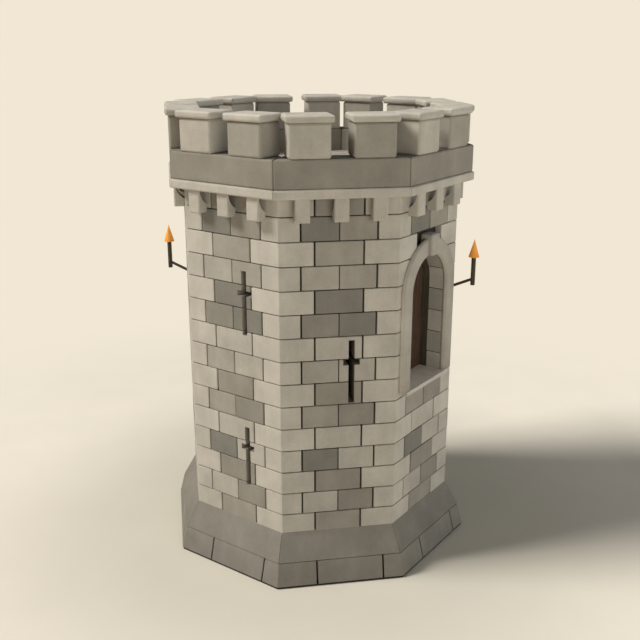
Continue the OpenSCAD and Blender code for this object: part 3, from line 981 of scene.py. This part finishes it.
def surround_sweep(name, edge):
    """Moulding up one leg of the doorway, over its arch and down the other, with rounded edges that carry
    painted light towards the wall.
    """
    width = SURROUND_RADIUS - DOOR_RADIUS
    bends = [math.pi / 2 * k / EDGE_STEPS for k in range(EDGE_STEPS + 1)]
    inner = [(edge - edge * math.cos(bend), SURROUND_FRONT + edge - edge * math.sin(bend)) for bend in bends]
    outer = [(width - offset, depth) for offset, depth in reversed(inner)]
    section = [(0.0, SURROUND_BACK), *inner, *outer, (width, SURROUND_BACK)]
    turns = [math.pi * k / ARC_STEPS for k in range(ARC_STEPS + 1)]
    path = [(0.0, SURROUND_FOOT), *((turn, DOOR_SPRING) for turn in turns), (math.pi, SURROUND_FOOT)]
    bm = bmesh.new()
    rows = []
    for turn, level in path:
        row = []
        for offset, depth in section:
            radius = DOOR_RADIUS + offset
            point = face_point(FRONT, radius * math.cos(turn), depth, level + radius * math.sin(turn))
            row.append(bm.verts.new(point))
        rows.append(row)
    for a, b in zip(rows, rows[1:]):
        for k in range(len(section)):
            bm.faces.new((a[k - 1], a[k], b[k], b[k - 1])).smooth = True
    bm.faces.new(rows[0])
    bm.faces.new(rows[-1])
    made = add_object(name, bm)
    # Corners behind the front get tint 1: painted highlight on the rounded edges and sides, lifting the shade
    # beside the wall and inside the doorway
    painted_edge_light = [float(depth > SURROUND_FRONT + edge / 2) for offset, depth in section]
    layer = made.data.attributes.new("tint", "FLOAT", "POINT")
    layer.data.foreach_set("value", painted_edge_light * len(path))
    return made


def door_board(name, width):
    """Bevelled board at the left end of the door leaf, a little taller than the doorway."""
    size = (width - BOARD_GAP, LEAF_BACK - LEAF_FRONT, DOOR_CROWN - DOOR_FOOT + BOARD_SPARE)
    depth = (LEAF_FRONT + LEAF_BACK) / 2
    middle = (-DOOR_RADIUS + width / 2, depth - WALL_RADIUS, (DOOR_FOOT + DOOR_CROWN) / 2)
    bm = bmesh.new()
    bmesh.ops.create_cube(bm, size=1.0)
    for vertex in bm.verts:
        vertex.co = Vector(part * span + place for part, span, place in zip(vertex.co, size, middle))
    bevel_edges(bm, BOARD_EDGE)
    return add_object(name, bm)


class TOWER_OT_doorway(bpy.types.Operator):
    """Finish the sill, the surround, the keystone and the frame, and lay the boards of the door leaf"""

    bl_idname = "tower.doorway"
    bl_label = "Finish the doorway"

    def execute(self, context):
        finishes = context.scene.tower_finishes
        shades = (toned(finishes.quoin_dark, SURROUND_DARK), toned(finishes.quoin_light, SURROUND_PAINTED_LIGHT))
        material = stone_material("Door surround", shades, attribute_tint)
        surround = surround_sweep("door_surround", SURROUND_EDGE)
        surround.data.materials.append(material)
        finish_piece(surround, "dressed_stone", "door_jambs", "door_arch")
        dress(material, "dressed_stone", "door_keystone")
        # Painted light: the sill's upward faces are lightened, though the sill stands in the doorway's shade
        sill = stone_material("Door sill", 2 * [finishes.quoin_light], even_tint, painted_top_light=0.7)
        dress(sill, "dressed_stone", "door_sill")
        dress(timber_material("Dark timber", finishes.door_frame), "dark_timber", "door_frame")
        timber = timber_material("Door boards", finishes.board, attribute_tint)
        dress(timber, "door_timber", "upper_floor")
        width = 2 * DOOR_RADIUS / BOARDS
        bases = [(door_board("board", width), {"Seed": BOARD_SEED})]
        leaf = lay("door_boards", bases, Finish=timber, Rows=BOARDS, Around=1, Step=(width, 0, 0))
        doorway = door_outline(DOOR_RADIUS, DOOR_FOOT)
        outline = prism("leaf_outline", FRONT, doorway, LEAF_FRONT - CUTTER_REACH, LEAF_BACK + CUTTER_REACH)
        cut(leaf, [outline], "INTERSECT")
        finish_piece(leaf, "door_timber", "door_leaf")
        return {"FINISHED"}


class TOWER_OT_torches(bpy.types.Operator):
    """Finish the torches with their brackets, shafts and flames"""

    bl_idname = "tower.torches"
    bl_label = "Finish the torches"

    def execute(self, context):
        finishes = context.scene.tower_finishes
        low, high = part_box("torch_flames")
        dress(timber_material("Torch timber", finishes.shaft), "dark_timber", "torch_shafts")
        dress(iron_material("Forged iron", finishes.iron, finishes.rust), "bracket_iron", "torch_brackets")
        dress(flame_material("Flame", finishes.flame, low.z, high.z), "flame", "torch_flames")
        return {"FINISHED"}


def show_to_camera(tree, output, plain, shown, share):
    """Lets the camera see another shader, by a share, than the plain one that the light meets."""
    seen = add_node(tree, "ShaderNodeLightPath").outputs["Is Camera Ray"]
    blend = add_node(tree, "ShaderNodeMixShader", {
        0: maths(tree, "MULTIPLY", share, seen), 1: plain.outputs[0], 2: shown.outputs[0]})
    feed(tree, tree.nodes[output], {"Surface": blend.outputs[0]})


def ground_material(name, stage):
    """Pale ground, darker near the tower as painted shade and lighter away from it, that turns into the
    backdrop further off.
    """
    material, tree, shader, coordinates = new_material(name)
    away = add_node(tree, "ShaderNodeVectorMath", {0: coordinates}, operation="LENGTH").outputs["Value"]
    soil_and_painted_shade = mix(tree, fading(tree, away, *NEAR_SHADE_FADE), opaque(stage.ground), opaque(stage.far_ground))
    faint = noise(tree, coordinates, scale=0.8, detail=4, roughness=0.5, low=0.985, high=1.015)
    feed(tree, shader, {
        "Base Color": shaded(tree, soil_and_painted_shade, faint), "Roughness": 1.0, "Specular IOR Level": 0.0})
    glow = add_node(tree, "ShaderNodeEmission", {"Color": opaque(stage.backdrop)})
    show_to_camera(tree, "Material Output", shader, glow, fading(tree, away, *FAR_FADE))
    return material


def studio_world(name, stage):
    """Even light from all round, with the backdrop in front of the camera."""
    world = bpy.data.worlds.new(name)
    world.use_nodes = True
    tree = world.node_tree
    even = tree.nodes["Background"]
    feed(tree, even, {"Color": opaque(stage.sky_colour), "Strength": stage.sky})
    shown = add_node(tree, "ShaderNodeBackground", {"Color": opaque(stage.backdrop)})
    show_to_camera(tree, "World Output", even, shown, 1.0)
    return world


def direction(azimuth, elevation):
    """Unit vector at an azimuth from the +X axis and an elevation above the horizon."""
    level = math.cos(elevation)
    return Vector((math.cos(azimuth) * level, math.sin(azimuth) * level, math.sin(elevation)))


def sun(name, strength, colour, azimuth, elevation, spread):
    """Adds a distant light that comes from a direction."""
    data = bpy.data.lights.new(name, "SUN")
    data.energy = strength
    data.color = colour
    data.angle = spread
    lamp = link_object(name, data)
    towards = direction(azimuth, elevation)
    lamp.rotation_mode = "QUATERNION"
    lamp.rotation_quaternion = towards.to_track_quat("Z", "Y")
    lamp.location = towards * LAMP_DISTANCE


class TOWER_OT_stage(bpy.types.Operator):
    """Set the ground, the light and the camera"""

    bl_idname = "tower.stage"
    bl_label = "Set the stage"

    def execute(self, context):
        stage = context.scene.tower_stage
        bm = bmesh.new()
        bmesh.ops.create_grid(bm, x_segments=2, y_segments=2, size=GROUND_REACH)
        for vertex in bm.verts:
            vertex.co.z = -GROUND_DROP
        ground = add_object("ground", bm)
        ground.data.materials.append(ground_material("Ground", stage))

        context.scene.world = studio_world("Studio", stage)
        sun("Key", stage.key_strength, stage.key_colour, stage.key_azimuth, stage.key_elevation,
            stage.key_spread)
        sun("Fill", stage.fill_strength, stage.fill_colour, stage.fill_azimuth, stage.fill_elevation,
            stage.fill_spread)
        sun("Rim", stage.rim_strength, stage.rim_colour, stage.rim_azimuth, stage.rim_elevation,
            stage.rim_spread)

        camera = link_object("Camera", bpy.data.cameras.new("Camera"))
        camera.data.lens = LENS
        camera.data.sensor_width = SENSOR_WIDTH
        back = direction(stage.azimuth - math.pi / 2, stage.elevation)
        camera.location = Vector(stage.target) + back * stage.distance
        camera.rotation_mode = "QUATERNION"
        camera.rotation_quaternion = (-back).to_track_quat("-Z", "Y")
        context.scene.camera = camera
        context.scene.view_settings.view_transform = "Standard"
        return {"FINISHED"}


OPERATORS = (
    TOWER_OT_core, TOWER_OT_quoins, TOWER_OT_blocks, TOWER_OT_plinth, TOWER_OT_crown,
    TOWER_OT_doorway, TOWER_OT_torches, TOWER_OT_stage,
)


class TOWER_PT_panel(bpy.types.Panel):
    """Lists the steps that dress the tower"""

    bl_idname = "TOWER_PT_panel"
    bl_label = "Watchtower"
    bl_space_type = "VIEW_3D"
    bl_region_type = "UI"
    bl_category = "Watchtower"

    def draw(self, context):
        for operator in OPERATORS:
            self.layout.operator(operator.bl_idname)


GROUPS = {"tower_stones": TowerStones, "tower_finishes": TowerFinishes, "tower_stage": TowerStage}
CLASSES = (*GROUPS.values(), *OPERATORS, TOWER_PT_panel)


def register():
    """Registers the classes and their settings."""
    for item in CLASSES:
        bpy.utils.register_class(item)
    for name, group in GROUPS.items():
        setattr(bpy.types.Scene, name, PointerProperty(type=group))


def unregister():
    """Removes the settings and the classes."""
    for name in GROUPS:
        delattr(bpy.types.Scene, name)
    for item in reversed(CLASSES):
        bpy.utils.unregister_class(item)


def main():
    """Dresses the whole tower."""
    register()
    bpy.ops.tower.core()
    bpy.ops.tower.quoins()
    bpy.ops.tower.blocks()
    bpy.ops.tower.plinth()
    bpy.ops.tower.crown()
    bpy.ops.tower.doorway()
    bpy.ops.tower.torches()
    bpy.ops.tower.stage()


if __name__ == "__main__":
    main()
